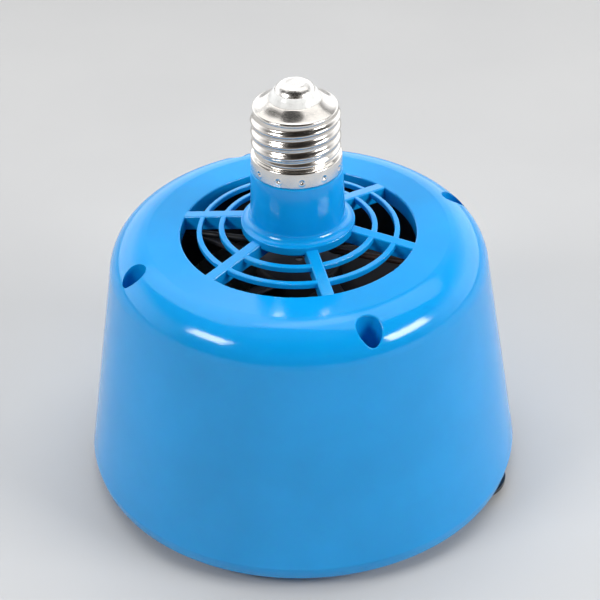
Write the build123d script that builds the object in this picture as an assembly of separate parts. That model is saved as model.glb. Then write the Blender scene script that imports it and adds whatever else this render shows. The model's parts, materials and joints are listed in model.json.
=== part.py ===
from build123d import *
import math
import os

# Screw-in fan heater with an E27 cap, a blue plastic housing, a fan, a heating element and a
# thermostat. Millimetres. The origin is the centre of the cap's seat on the neck, +Z through the
# cap, so the housing hangs below the origin.

# Housing outline (radii and heights of the outer surface)
TOP_Z = -22.0
SHOULDER_R = 12.1
SHOULDER_CENTRE_R = 45.55
WALL_TAPER = 9.1
RIM_R = 67.87
RIM_Z = -97.3
RIM_ROUND = 9.0
PARTING_Z = -99.7
BASE_Z = -101.8
WALL = 2.5

# Air-intake grille
GRILLE_R = 35.6
GRILLE_RINGS = ((22.2, 23.9), (29.0, 30.6))
GRILLE_RING_DEPTH = 1.9
SPOKE_COUNT = 6
SPOKE_ANGLE = -16.9
SPOKE_WIDTH = 3.7
SPOKE_DEPTH = 4.8
HUB_R = 17.1
HUB_TOP_Z = -17.7
HUB_EDGE_Z = -18.8
HUB_LOW_Z = -20.3

# Neck and E27 cap
NECK_R = 13.65
NECK_FOOT_R = 14.2
NECK_FILLET = 2.6
NECK_BORE_R = 11.2
NECK_LOW_R = 14.0
NECK_LOW_Z = -22.4
STUB_R = 12.95
STUB_TOP_Z = 4.6
SKIRT_R = 13.45
SKIRT_LENGTH = 5.8
CAP_SHEET = 0.4
THREAD_R = 13.2
THREAD_BEAD = 1.025
THREAD_PITCH = 3.629
THREAD_START_Z = 7.2
THREAD_END_Z = 18.1
DOME = ((12.175, 19.38), (11.94, 19.85), (11.07, 20.73), (9.8, 21.72), (8.4, 22.62), (7.7, 23.0))
DOME_HOLE_R = 7.7
STAKE_COUNT = 12
STAKE_ANGLE = -55.0
CONTACT_R = 5.95
CONTACT_FLAT_R = 2.2
CONTACT_LOW_Z = 25.5
CONTACT_SHANK_R = 1.2
CONTACT_SHANK_Z = 20.8
CAP_TOP_Z = 27.5

# Housing screws
POST_PCD_R = 52.0
POST_ANGLE = 21.5
POST_COUNT = 4
TUBE_R = 5.8
RECESS_R = 3.65
RECESS_EDGE = 0.4
RECESS_FLOOR_Z = -62.0
TUBE_LOW_Z = -65.0
POST_R = 4.6

# Fan and motor
FAN_TOP_Z = -30.0
FAN_LOW_Z = -47.5
FAN_RING_R = 40.4
FAN_BORE_R = 38.6
FAN_SCREW_R = 44.5
FAN_SCREW_ANGLE = -33.5
FAN_BOSS_R = 3.2
BLADE_TIP_R = 37.3
BLADE_COUNT = 5
ROTOR_HUB_R = 13.0
ROTOR_TOP_Z = -32.5
ROTOR_LOW_Z = -42.8
SHAFT_R = 1.15
RUNNING_GAP = 0.04
MOTOR_R = 13.85
MOTOR_TOP_Z = -46.5
MOTOR_LOW_Z = -71.5
MOTOR_BOSS_R = 4.9
MOTOR_SCREW_R = 8.0
BUSH_R = 3.0
MAGNET_BORE_R = 10.3
CORE_TOP_Z = -52.0
CORE_LOW_Z = -64.0
TERMINAL_Y = 9.5
BOARD_TOP_Z = -76.0
BOARD_LOW_Z = -77.6
DIODE_Z = -74.4
DIODE_X = 7.3

# Duct and heating element
DUCT_R = 41.2
DUCT_SHEET = 0.6
DUCT_TOP_Z = -44.0
LINER_R = 40.4
LINER_SHEET = 0.5
MICA_SHEET = 0.8
MICA_TOP_Z = -83.0
MICA_LOW_Z = -97.0
MICA_R = 39.7
MICA_ANGLE = 28.0
COIL_TUBE_R = 2.0
COILS_LOWER = (12.0, 20.0, 28.0, 35.2)
COILS_UPPER = (16.0, 24.0, 32.0)
COIL_LOWER_Z = -94.8
COIL_UPPER_Z = -85.2
LEAD_PASS_Z = -90.0
OUTLET_R = 37.5
GUARD_WIRE_R = 0.8
GUARD_RINGS = (7.5, 15.3, 23.1, 30.9, 38.7)

# Thermostat and its knob
CONTROL_R = 56.6
CONTROL_ANGLE = -21.5
SPINDLE_R = 3.0
KNOB_R = 11.2
KNOB_TOP_Z = -102.2
KNOB_LOW_Z = -106.2
BRACKET_SHEET = 1.2
STACK_AT = (-1.5, -8.6)
STACK_R = 3.6
STACK_HOLE_R = 1.55
STACK_LEVELS = (PARTING_Z + 1.2, PARTING_Z + 9.7, PARTING_Z + 12.6)
STACK_CAP = 3.0
BLADE_SHEET = 0.5
BLADE_REACH = 22.0
CONTROL_SCREW_Y = 14.0

# Holes for the small screws in the base plate
BASE_HOLE_R = 1.7
THREAD_HOLE_R = 1.25

# Leads
LEAD_R = 1.0
LEAD_BEND = 5.0
LEAD_DROP_R = 46.4
LEAD_RUN_Z = -27.7
CUTOUT_ANGLE = 66.5
CUTOUT_Z = -84.0
CUTOUT_RIVET_Y = 11.8
CUTOUT_FLANGE = 30.0
CUTOUT_FACE_R = DUCT_R + 2.55
CUTOUT_BACK_R = DUCT_R + 3.25
CUTOUT_BODY = 5.6
CUTOUT_SCREW_R = DUCT_R + 8.6

CENTRED_UP = (Align.CENTER, Align.CENTER, Align.MIN)
OUTWARDS = (Align.MIN, Align.CENTER, Align.CENTER)


def polar(radius, degrees, z=0.0):
    """Point at a radius and an angle about the centre line."""
    angle = math.radians(degrees)
    return (radius * math.cos(angle), radius * math.sin(angle), z)


def rod(radius, z_low, z_high, at=(0.0, 0.0)):
    """Upright round bar between two heights."""
    return Pos(at[0], at[1], z_low) * Cylinder(radius, z_high - z_low, align=CENTRED_UP)


def tube(outer, inner, z_low, z_high, at=(0.0, 0.0)):
    """Upright tube between two heights."""
    return rod(outer, z_low, z_high, at) - rod(inner, z_low - 1, z_high + 1, at)


def block(size_x, size_y, z_low, z_high, at=(0.0, 0.0)):
    """Upright rectangular block between two heights, centred at a point."""
    low = Pos(at[0], at[1], z_low)
    return low * Box(size_x, size_y, z_high - z_low, align=CENTRED_UP)


def turned(edges):
    """Solid of revolution about the centre line from a closed outline of radius and height."""
    return revolve(Plane.XZ * make_face(edges), Axis.Z)


def turned_corners(*corners):
    """Solid of revolution from straight-sided corners of radius and height."""
    return turned(Polyline(*corners, close=True))


def around(shape, count, start=0.0):
    """The shape repeated evenly about the centre line."""
    return [Rot(0, 0, start + i * 360 / count) * shape for i in range(count)]


def group(solids):
    """Separate solids that share one node."""
    return Compound(children=[part for shape in solids for part in shape.solids()])


def arc_point(centre, radius, degrees):
    """Point of a circle in the outline plane."""
    angle = math.radians(degrees)
    return (centre[0] + radius * math.cos(angle), centre[1] + radius * math.sin(angle))


def arc(centre, radius, start, end):
    """Arc of the outline plane between two angles."""
    middle = arc_point(centre, radius, (start + end) / 2)
    return ThreePointArc(arc_point(centre, radius, start), middle, arc_point(centre, radius, end))


def polygon_edges(*points):
    """Open run of straight edges."""
    return [Line(a, b) for a, b in zip(points, points[1:])]


def pan_screw(head_r, shank_r, head_z, length, at, head=2.4, up=False):
    """Pan-head screw: head above its seat height, shank down, with a cross recess."""
    dome = rod(head_r, 0, head)
    dome = fillet(dome.edges().group_by(Axis.Z)[-1], head * 0.45)
    slot = Box(head_r * 1.1, 0.7, head) + Box(0.7, head_r * 1.1, head)
    body = dome - Pos(0, 0, head) * slot + rod(shank_r, -length, 0)
    turn = Rot(180, 0, 0) if up else Rot(0, 0, 0)
    return Pos(at[0], at[1], head_z) * turn * body


def bend_radius(before, corner, after, largest):
    """Largest arc that the two runs at a corner leave room for."""
    run_in = Vector(*corner) - Vector(*before)
    run_out = Vector(*after) - Vector(*corner)
    half_turn = math.radians(run_in.get_angle(run_out)) / 2
    return min(largest, 0.45 * min(run_in.length, run_out.length) / math.tan(half_turn))


def lead(points, radius=LEAD_R, largest_bend=LEAD_BEND):
    """Round wire on straight runs joined by tangent arcs."""
    radii = [bend_radius(*corner, largest_bend) for corner in zip(points, points[1:], points[2:])]
    path = FilletPolyline(*points, radius=radii)
    section = Plane(origin=path @ 0, z_dir=path % 0) * Circle(radius)
    return sweep(section, path=path)


def shoulder_centre():
    return (SHOULDER_CENTRE_R, TOP_Z - SHOULDER_R)


def rim_r(z):
    """Radius of the rounded lower edge at a height."""
    return RIM_R - RIM_ROUND + math.sqrt(RIM_ROUND**2 - (RIM_Z - z) ** 2)


def housing_profile(offset, inner_r, low_z):
    """Outline of the bell: flat top, rounded shoulder, tapered wall; offset moves it inwards."""
    centre = shoulder_centre()
    radius = SHOULDER_R - offset
    top = centre[1] + radius
    side = arc_point(centre, radius, WALL_TAPER)
    slope = math.tan(math.radians(WALL_TAPER))
    foot = (side[0] + (side[1] - low_z) * slope, low_z)
    return [
        Line((inner_r, low_z), (inner_r, top)),
        Line((inner_r, top), (centre[0], top)),
        arc(centre, radius, 90, WALL_TAPER),
        Line(side, foot),
        Line(foot, (inner_r, low_z)),
    ]


def bell_solid():
    """The housing's outer shape as a full solid, with its rounded lower edge."""
    upper = turned(housing_profile(0, 0, RIM_Z))
    lower_r = rim_r(PARTING_Z)
    middle_z = (RIM_Z + PARTING_Z) / 2
    lower = turned([
        Line((0, PARTING_Z), (0, RIM_Z)),
        Line((0, RIM_Z), (RIM_R, RIM_Z)),
        ThreePointArc((RIM_R, RIM_Z), (rim_r(middle_z), middle_z), (lower_r, PARTING_Z)),
        Line((lower_r, PARTING_Z), (0, PARTING_Z)),
    ])
    return upper + lower


def hub_and_neck():
    """Neck tube with its flared foot, and the stub that the cap is staked to."""
    flare_r = NECK_FOOT_R + NECK_FILLET
    flare_z = HUB_TOP_Z + NECK_FILLET
    edge = HUB_R - flare_r
    outline = polygon_edges(
        (HUB_R, HUB_TOP_Z - edge),
        (HUB_R, HUB_LOW_Z + 0.2),
        (HUB_R - 0.2, HUB_LOW_Z),
        (NECK_LOW_R, HUB_LOW_Z),
        (NECK_LOW_R, NECK_LOW_Z),
        (NECK_BORE_R, NECK_LOW_Z),
        (NECK_BORE_R, -1.8),
        (STUB_R - 2.2, -1.8),
        (STUB_R - 2.2, STUB_TOP_Z),
        (STUB_R, STUB_TOP_Z),
        (STUB_R, 0),
        (NECK_R - 0.3, 0),
        (NECK_R, -0.3),
        (NECK_FOOT_R, flare_z),
    )
    outline.append(arc((flare_r, flare_z), NECK_FILLET, 180, 270))
    outline.append(arc((flare_r, HUB_TOP_Z - edge), edge, 90, 0))
    return turned(outline)


def grille_top(radius):
    """Height of the grille's gently coned top at a radius."""
    slope = (TOP_Z - HUB_EDGE_Z) / (GRILLE_R - HUB_R)
    return HUB_EDGE_Z + (radius - HUB_R) * slope


def grille_ring(r_in, r_out):
    """One round bar of the grille, with softened edges."""
    set_down = 0.08
    corners = [
        (r_in, grille_top(r_in) - set_down),
        (r_out, grille_top(r_out) - set_down),
        (r_out, grille_top(r_out) - GRILLE_RING_DEPTH),
        (r_in, grille_top(r_in) - GRILLE_RING_DEPTH),
    ]
    face = make_face(Polyline(*corners, close=True))
    return revolve(Plane.XZ * fillet(face.vertices(), 0.35), Axis.Z)


def grille_spoke():
    """One spoke along +X, sloping with the grille's top."""
    start = NECK_LOW_R - 0.6
    end = GRILLE_R + 1.2
    drop = grille_top(end) - grille_top(start)
    length = math.hypot(end - start, drop)
    section = Rectangle(SPOKE_WIDTH, SPOKE_DEPTH)
    section = fillet(section.vertices(), 0.55)
    bar = extrude(Plane.YZ * section, length)
    tilt = math.degrees(math.atan2(-drop, end - start))
    lift = grille_top(start) - SPOKE_DEPTH / 2
    return Pos(start, 0, lift) * Rot(0, tilt, 0) * bar


def housing_shell():
    """Side wall, top, grille, neck, screw tubes and fan bosses, moulded in one."""
    bell = bell_solid()
    hollow = turned(housing_profile(WALL, 0, PARTING_Z - 1))
    shell = bell - hollow
    recesses = [rod(RECESS_R, RECESS_FLOOR_Z, 0, polar(POST_PCD_R, POST_ANGLE + 90 * k))
                for k in range(POST_COUNT)]
    tubes = [rod(TUBE_R, TUBE_LOW_Z, TOP_Z, polar(POST_PCD_R, POST_ANGLE + 90 * k))
             for k in range(POST_COUNT)]
    for screw_tube in tubes:
        shell += bell & screw_tube
    shell += tube(GRILLE_R + 2.0, GRILLE_R, TOP_Z - SPOKE_DEPTH, TOP_Z - WALL / 2)
    for k in range(POST_COUNT):
        boss_at = polar(FAN_SCREW_R, FAN_SCREW_ANGLE + 90 * k)
        shell += rod(FAN_BOSS_R, FAN_TOP_Z, TOP_Z - WALL / 2, boss_at)
        shell -= rod(1.5, FAN_TOP_Z - 1, TOP_Z - WALL, boss_at)
    for recess in recesses:
        shell -= recess
    mouths = shell.edges().filter_by(
        lambda e: abs(math.hypot(e.center().X, e.center().Y) - POST_PCD_R) < 0.8
        and e.center().Z > TOP_Z - 4
    )
    shell = fillet(mouths, RECESS_EDGE)
    shell -= rod(GRILLE_R, TOP_Z - SPOKE_DEPTH - 1, TOP_Z + 1)
    mouth = shell.edges().filter_by(
        lambda e: e.geom_type == GeomType.CIRCLE
        and abs(e.radius - GRILLE_R) < 0.01
        and abs(e.center().Z - TOP_Z) < 0.01
    )
    shell = fillet(mouth, 0.5)
    for k in range(POST_COUNT):
        shell -= rod(1.9, TUBE_LOW_Z - 1, RECESS_FLOOR_Z + 1, polar(POST_PCD_R, POST_ANGLE + 90 * k))
    for spoke in around(grille_spoke(), SPOKE_COUNT, SPOKE_ANGLE):
        shell += spoke
    for r_in, r_out in GRILLE_RINGS:
        shell += grille_ring(r_in, r_out)
    return shell + hub_and_neck()


def bottom_cover():
    """Base plate with the outlet, the spigot, the screw posts, duct rib and spindle hole."""
    outer = rim_r(PARTING_Z)
    lower = outer - 0.75
    middle = (outer - 0.25, (PARTING_Z + BASE_Z) / 2)
    plate = turned([
        Line((0, BASE_Z), (0, PARTING_Z)),
        Line((0, PARTING_Z), (outer, PARTING_Z)),
        ThreePointArc((outer, PARTING_Z), middle, (lower, BASE_Z)),
        Line((lower, BASE_Z), (0, BASE_Z)),
    ])
    plate = fillet(plate.edges().group_by(Axis.Z)[0], 0.4)
    plate += tube(64.4, 62.6, PARTING_Z, -94.5)
    plate += tube(DUCT_R + 1.9, DUCT_R + 0.3, PARTING_Z, -96.0)
    for k in range(POST_COUNT):
        at = polar(POST_PCD_R, POST_ANGLE + 90 * k)
        plate += rod(POST_R, PARTING_Z, TUBE_LOW_Z, at)
        plate -= rod(1.8, TUBE_LOW_Z - 14, TUBE_LOW_Z + 1, at)
    plate -= rod(OUTLET_R, BASE_Z - 1, PARTING_Z + 1)
    lip = plate.edges().filter_by(
        lambda e: e.geom_type == GeomType.CIRCLE
        and abs(e.radius - OUTLET_R) < 0.01
        and abs(e.center().Z - BASE_Z) < 0.01
    )
    plate = fillet(lip, 0.9)
    plate -= rod(SPINDLE_R + 1.0, BASE_Z - 1, PARTING_Z + 1, control_at())
    for at in [*thermostat_screw_places(), cutout_screw_place()]:
        plate -= rod(BASE_HOLE_R, BASE_Z - 1, PARTING_Z + 1, at)
    return plate


def cover_screws():
    """Four self-tapping screws at the bottom of the deep recesses."""
    places = [polar(POST_PCD_R, POST_ANGLE + 90 * k) for k in range(POST_COUNT)]
    return group([pan_screw(3.3, 1.75, RECESS_FLOOR_Z, 15.5, at) for at in places])


def stake_dents():
    """Round punch marks that lock the skirt to the neck."""
    dent = Pos(SKIRT_R + 0.62, 0, 2.3) * Sphere(0.95)
    return around(dent, STAKE_COUNT, STAKE_ANGLE)


def cap_shell():
    """E27 screw shell: plain skirt, rolled round thread and a domed shoulder."""
    root = THREAD_R - THREAD_BEAD
    bore = root - CAP_SHEET
    core = turned_corners(
        (0, 0), (SKIRT_R, 0), (SKIRT_R, SKIRT_LENGTH - 0.6), (SKIRT_R - 0.5, SKIRT_LENGTH),
        (root, SKIRT_LENGTH + 0.4), *DOME, (0, DOME[-1][1]),
    )
    path = Helix(THREAD_PITCH, THREAD_END_Z - THREAD_START_Z, root, center=(0, 0, THREAD_START_Z))
    section = Plane(origin=path @ 0, z_dir=path % 0) * Circle(THREAD_BEAD)
    core += sweep(section, path=path, is_frenet=True)
    lining = [(r - 0.7 * CAP_SHEET, z - CAP_SHEET) for r, z in DOME[1:-1]]
    core -= turned_corners(
        (0, -1), (SKIRT_R - CAP_SHEET, -1), (SKIRT_R - CAP_SHEET, SKIRT_LENGTH - 0.9),
        (bore, SKIRT_LENGTH), (bore, DOME[0][1] - CAP_SHEET), *lining,
        (DOME_HOLE_R, DOME[-1][1] - CAP_SHEET), (DOME_HOLE_R, CAP_TOP_Z), (0, CAP_TOP_Z),
    )
    for dent in stake_dents():
        core -= dent & tube(SKIRT_R + 1, SKIRT_R - 0.3, 0, SKIRT_LENGTH)
    return core


def cap_insulator():
    """White glass cone between the shell and the centre contact."""
    foot = DOME[-1][1]
    return turned_corners(
        (DOME_HOLE_R, foot - 1.6), (DOME_HOLE_R, foot), (7.5, foot + 0.4), (6.9, foot + 1.5),
        (6.3, CONTACT_LOW_Z - 0.2), (6.05, CONTACT_LOW_Z), (CONTACT_SHANK_R + 0.2, CONTACT_LOW_Z),
        (CONTACT_SHANK_R + 0.2, foot - 1.0), (6.2, foot - 1.6),
    )


def cap_contact():
    """Domed centre contact with its rivet shank."""
    rise = CAP_TOP_Z - CONTACT_LOW_Z
    reach = CONTACT_R - CONTACT_FLAT_R
    middle = (CONTACT_FLAT_R + reach * math.sqrt(0.5), CONTACT_LOW_Z + rise * math.sqrt(0.5))
    dome = turned([
        Line((0, CONTACT_LOW_Z), (0, CAP_TOP_Z)),
        Line((0, CAP_TOP_Z), (CONTACT_FLAT_R, CAP_TOP_Z)),
        ThreePointArc((CONTACT_FLAT_R, CAP_TOP_Z), middle, (CONTACT_R, CONTACT_LOW_Z)),
        Line((CONTACT_R, CONTACT_LOW_Z), (0, CONTACT_LOW_Z)),
    ])
    return dome + rod(CONTACT_SHANK_R, CONTACT_SHANK_Z, CONTACT_LOW_Z)


def fan_frame():
    """Venturi ring with four lugs, four arms and the motor cup."""
    frame = tube(FAN_RING_R, FAN_BORE_R, FAN_LOW_Z, FAN_TOP_Z)
    reach = FAN_SCREW_R - FAN_RING_R + 1
    lug = block(reach, 7.0, FAN_TOP_Z - 3, FAN_TOP_Z, (FAN_SCREW_R - reach / 2, 0))
    lug += rod(3.5, FAN_TOP_Z - 3, FAN_TOP_Z, (FAN_SCREW_R, 0))
    lug -= rod(1.7, FAN_TOP_Z - 4, FAN_TOP_Z + 1, (FAN_SCREW_R, 0))
    arm_length = FAN_BORE_R - MOTOR_R
    arm = block(arm_length, 3.4, FAN_LOW_Z, FAN_LOW_Z + 3, (MOTOR_R + 1 + arm_length / 2, 0))
    arm = fillet(arm.edges().filter_by(Axis.X), 0.8)
    for copy in around(lug, POST_COUNT, FAN_SCREW_ANGLE):
        frame += copy
    for copy in around(arm, POST_COUNT, FAN_SCREW_ANGLE + 45):
        frame += copy & rod(FAN_RING_R - 0.4, FAN_LOW_Z, FAN_TOP_Z)
    frame += rod(MOTOR_R + 1.8, MOTOR_TOP_Z, MOTOR_TOP_Z + 2)
    frame += tube(MOTOR_R + 1.8, MOTOR_R, MOTOR_TOP_Z - 8, MOTOR_TOP_Z)
    frame -= rod(MOTOR_BOSS_R + 0.1, MOTOR_TOP_Z - 1, MOTOR_TOP_Z + 3)
    for side in (-1, 1):
        frame -= rod(1.4, MOTOR_TOP_Z - 1, MOTOR_TOP_Z + 3, (side * MOTOR_SCREW_R, 0))
    return frame


def fan_screws():
    """Four screws that hold the fan ring under the housing's bosses."""
    places = [polar(FAN_SCREW_R, FAN_SCREW_ANGLE + 90 * k) for k in range(POST_COUNT)]
    seat = FAN_TOP_Z - 3
    return group([pan_screw(2.8, 1.45, seat, 7.5, at, head=1.9, up=True) for at in places])


def blade():
    """One swept fan blade, pitched so that it draws air down through the grille."""
    pitch_angle = 34
    root = ROTOR_HUB_R - 1.2
    middle = (ROTOR_TOP_Z + ROTOR_LOW_Z) / 2
    span = BLADE_TIP_R + 2 - root
    slab = Box(span, 17.0, 1.5, align=(Align.MIN, Align.CENTER, Align.CENTER))
    slab = fillet(slab.edges().filter_by(Axis.X), 0.5)
    turned_slab = Pos(root, 0, middle) * Rot(pitch_angle, 0, 0) * slab
    sweep_limit = tube(BLADE_TIP_R, root, ROTOR_LOW_Z, ROTOR_TOP_Z)
    return turned_slab & sweep_limit


def impeller():
    """Five-bladed axial rotor with a cup-shaped hub."""
    hub = rod(ROTOR_HUB_R, ROTOR_LOW_Z, ROTOR_TOP_Z)
    hub = fillet(hub.edges().group_by(Axis.Z)[-1], 1.2)
    hub -= rod(ROTOR_HUB_R - 1.6, ROTOR_LOW_Z - 1, ROTOR_TOP_Z - 2)
    hub += rod(3.6, ROTOR_LOW_Z, ROTOR_TOP_Z - 1)
    for copy in around(blade(), BLADE_COUNT):
        hub += copy
    return hub - rod(SHAFT_R, ROTOR_LOW_Z - 1, ROTOR_TOP_Z + 1)


def motor_shaft():
    return rod(SHAFT_R, MOTOR_LOW_Z - 2.0, ROTOR_TOP_Z - 0.3)


def motor_can():
    """Drawn steel can, open at the rear, with a bearing boss at the front."""
    can = rod(MOTOR_R, MOTOR_LOW_Z, MOTOR_TOP_Z)
    can = fillet(can.edges().group_by(Axis.Z)[-1], 0.8)
    can -= rod(MOTOR_R - 1, MOTOR_LOW_Z - 1, MOTOR_TOP_Z - 1)
    can += rod(MOTOR_BOSS_R, MOTOR_TOP_Z - 1, MOTOR_TOP_Z + 1.8)
    can -= rod(BUSH_R, MOTOR_TOP_Z - 4, MOTOR_TOP_Z + 3)
    for side in (-1, 1):
        can -= rod(1.2, MOTOR_TOP_Z - 2, MOTOR_TOP_Z + 1, (side * MOTOR_SCREW_R, 0))
    return can


def motor_end_cap():
    """Moulded rear cap with its bearing boss."""
    cap = rod(MOTOR_R - 1.05, MOTOR_LOW_Z, MOTOR_LOW_Z + 2)
    cap += rod(MOTOR_BOSS_R, MOTOR_LOW_Z - 2.5, MOTOR_LOW_Z)
    cap -= rod(BUSH_R, MOTOR_LOW_Z - 2.0, MOTOR_LOW_Z + 3)
    for side in (-1, 1):
        cap -= block(3.2, 0.8, MOTOR_LOW_Z - 1, MOTOR_LOW_Z + 3, (0, side * TERMINAL_Y))
    return cap


def motor_bush(z_low, z_high):
    """Sintered bronze bush with running clearance on the shaft."""
    return tube(BUSH_R, SHAFT_R + RUNNING_GAP, z_low, z_high)


def motor_magnets():
    """Two curved magnets inside the can."""
    full = tube(MOTOR_R - 1.05, MAGNET_BORE_R, CORE_LOW_Z - 3, CORE_TOP_Z + 2)
    halves = [full & block(40, 20, CORE_LOW_Z - 6, CORE_TOP_Z + 4, (0, side * 13.5)) for side in (-1, 1)]
    return group(halves)


def armature_core():
    """Three-pole laminated core."""
    core = rod(3.4, CORE_LOW_Z, CORE_TOP_Z)
    shoe = tube(9.7, 7.9, CORE_LOW_Z, CORE_TOP_Z)
    for copy in around(block(6.5, 3.4, CORE_LOW_Z, CORE_TOP_Z, (5.6, 0)), 3):
        core += copy
    gap = block(6, 2.2, CORE_LOW_Z - 1, CORE_TOP_Z + 1, (9, 0))
    for copy in around(gap, 3, 60):
        shoe -= copy
    return core + shoe - rod(SHAFT_R, CORE_LOW_Z - 1, CORE_TOP_Z + 1)


def armature_windings():
    """Copper coils round the three poles."""
    coil = block(3.2, 7.0, CORE_LOW_Z - 2, CORE_TOP_Z + 2, (5.4, 0))
    coil = fillet(coil.edges().filter_by(Axis.X), 1.4)
    coil -= block(5, 3.5, CORE_LOW_Z - 0.05, CORE_TOP_Z + 0.05, (5.4, 0))
    return group(around(coil, 3))


def commutator():
    return tube(2.9, SHAFT_R, -69.2, -66.3)


def motor_brushes():
    """Two carbon brushes either side of the commutator."""
    brush = block(1.6, 2.8, -69.0, -66.8)
    return group([Pos(0, side * 4.7, 0) * brush for side in (-1, 1)])


def motor_terminals():
    """Two flat tabs through the rear cap and the supply board."""
    places = [(0, side * TERMINAL_Y) for side in (-1, 1)]
    return group([block(3.0, 0.6, BOARD_LOW_Z - 1, MOTOR_LOW_Z + 2.4, at) for at in places])


def motor_screws():
    """Two machine screws through the cup into the can's face."""
    seat = MOTOR_TOP_Z + 2
    return group([pan_screw(2.2, 1.15, seat, 4.0, (side * MOTOR_SCREW_R, 0), head=1.2)
                  for side in (-1, 1)])


def rectifier_board():
    """Round circuit board on the motor's tabs."""
    board = rod(12.6, BOARD_LOW_Z, BOARD_TOP_Z)
    for side in (-1, 1):
        board -= block(3.2, 0.8, BOARD_LOW_Z - 1, BOARD_TOP_Z + 1, (0, side * TERMINAL_Y))
    return board


def rectifier_diodes():
    """Four axial diodes on the board, with bent legs."""
    solids = []
    for side in (-1, 1):
        for y in (-2.6, 2.6):
            lying = Pos(side * DIODE_X, y, DIODE_Z) * Rot(0, 90, 0)
            diode = lying * Cylinder(1.3, 4.2) + lying * Cylinder(0.35, 7.4)
            for end in (-1, 1):
                diode += rod(0.35, BOARD_TOP_Z, DIODE_Z, (side * DIODE_X + end * 3.4, y))
            solids.append(diode)
    return group(solids)


def motor_capacitor():
    """Film capacitor under the board."""
    body = block(8.0, 3.4, BOARD_LOW_Z - 4.2, BOARD_LOW_Z)
    return fillet(body.edges().filter_by(Axis.Z), 0.5)


def duct_passes():
    """Radial drills where the leads go through the duct."""
    drill = Pos(LINER_R, 0, LEAD_PASS_Z) * Rot(0, 90, 0) * Cylinder(2.5, 6)
    return [Rot(0, 0, angle) * drill for angle in lead_pass_angles()]


def lead_pass_angles():
    return (SPOKE_ANGLE + 180, CUTOUT_ANGLE + 24)


def duct_band(outer, sheet, z_low, z_high):
    band = tube(outer, outer - sheet, z_low, z_high)
    for drill in duct_passes():
        band -= drill
    return band


def air_duct():
    """Sheet-steel sleeve from the fan ring down to the base plate."""
    return duct_band(DUCT_R, DUCT_SHEET, PARTING_Z, DUCT_TOP_Z)


def mica_liner():
    """Mica sheet rolled inside the duct round the element."""
    return duct_band(LINER_R, LINER_SHEET, PARTING_Z, MICA_TOP_Z + 2)


def mica_plate(slot_from_top):
    """Notched mica board along X that carries the coils."""
    plate = block(2 * MICA_R, MICA_SHEET, MICA_LOW_Z, MICA_TOP_Z)
    foot_low = PARTING_Z + 2 * GUARD_WIRE_R
    for side in (-1, 1):
        plate += block(2.6, MICA_SHEET, foot_low, MICA_LOW_Z, (side * (MICA_R - 1.3), 0))
        for radius in COILS_LOWER:
            plate -= block(4.5, 2, MICA_LOW_Z - 1, COIL_LOWER_Z, (side * radius, 0))
            plate -= Pos(side * radius, 0, COIL_LOWER_Z) * Rot(90, 0, 0) * Cylinder(2.25, 2)
        for radius in COILS_UPPER:
            plate -= block(4.5, 2, COIL_UPPER_Z, MICA_TOP_Z + 1, (side * radius, 0))
            plate -= Pos(side * radius, 0, COIL_UPPER_Z) * Rot(90, 0, 0) * Cylinder(2.25, 2)
        plate -= Pos(side * (MICA_R - 3.2), 0, LEAD_PASS_Z) * Rot(90, 0, 0) * Cylinder(1.05, 2)
    middle = (MICA_LOW_Z + MICA_TOP_Z) / 2
    if slot_from_top:
        plate -= block(MICA_SHEET + 0.1, 2, middle, MICA_TOP_Z + 1)
    else:
        plate -= block(MICA_SHEET + 0.1, 2, MICA_LOW_Z - 1, middle)
    return plate


def mica_plate_long():
    return Rot(0, 0, MICA_ANGLE) * mica_plate(True)


def mica_plate_cross():
    return Rot(0, 0, MICA_ANGLE + 90) * mica_plate(False)


def coil_rings(radii, z):
    """Rings that the resistance wire's coils run along."""
    return group([Pos(0, 0, z) * Torus(radius, COIL_TUBE_R) for radius in radii])


def heater_eyelets():
    """Brass eyelets where the element's ends and the leads meet."""
    eyelet = Rot(90, 0, 0) * Cylinder(1.0, 1.8)
    for side in (-1, 1):
        eyelet += Pos(0, side * 0.75, 0) * Rot(90, 0, 0) * Cylinder(1.9, 0.6)
    eyelet -= Rot(90, 0, 0) * Cylinder(0.5, 4)
    placed = Pos(MICA_R - 3.2, 0, LEAD_PASS_Z) * eyelet
    return group([Rot(0, 0, MICA_ANGLE + 90 * k) * placed for k in range(4)])


def thermal_fuse():
    """Axial thermal fuse strapped beside the long plate, between the coil tiers."""
    body = Rot(0, 90, 0) * Cylinder(1.6, 11)
    body = fillet(body.edges(), 0.4)
    legs = Rot(0, 90, 0) * Cylinder(0.45, 19)
    return Rot(0, 0, MICA_ANGLE) * Pos(18, 2.2, LEAD_PASS_Z) * (body + legs)


def duct_beads():
    """Ceramic beads that line the duct's lead holes."""
    bead = Rot(0, 90, 0) * (Cylinder(2.4, 3.6) - Cylinder(LEAD_R + 0.1, 6))
    placed = Pos(LINER_R + 0.2, 0, LEAD_PASS_Z) * bead
    return group([Rot(0, 0, angle) * placed for angle in lead_pass_angles()])


def outlet_guard():
    """Round wire rings welded to four cross wires, resting on the base plate."""
    z = PARTING_Z + GUARD_WIRE_R
    guard = None
    for radius in GUARD_RINGS:
        ring = Pos(0, 0, z) * Torus(radius, GUARD_WIRE_R)
        guard = ring if guard is None else guard + ring
    reach = GUARD_RINGS[-1]
    for k in range(4):
        wire = Rot(0, 0, 45 * k + MICA_ANGLE + 22.5) * Pos(0, 0, z + 0.25) * Rot(0, 90, 0)
        guard += wire * Cylinder(GUARD_WIRE_R - 0.05, 2 * reach)
    return guard


def cutout_frame():
    """Place of the thermal cut-out: its axis points at the duct."""
    return Rot(0, 0, CUTOUT_ANGLE)


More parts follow.
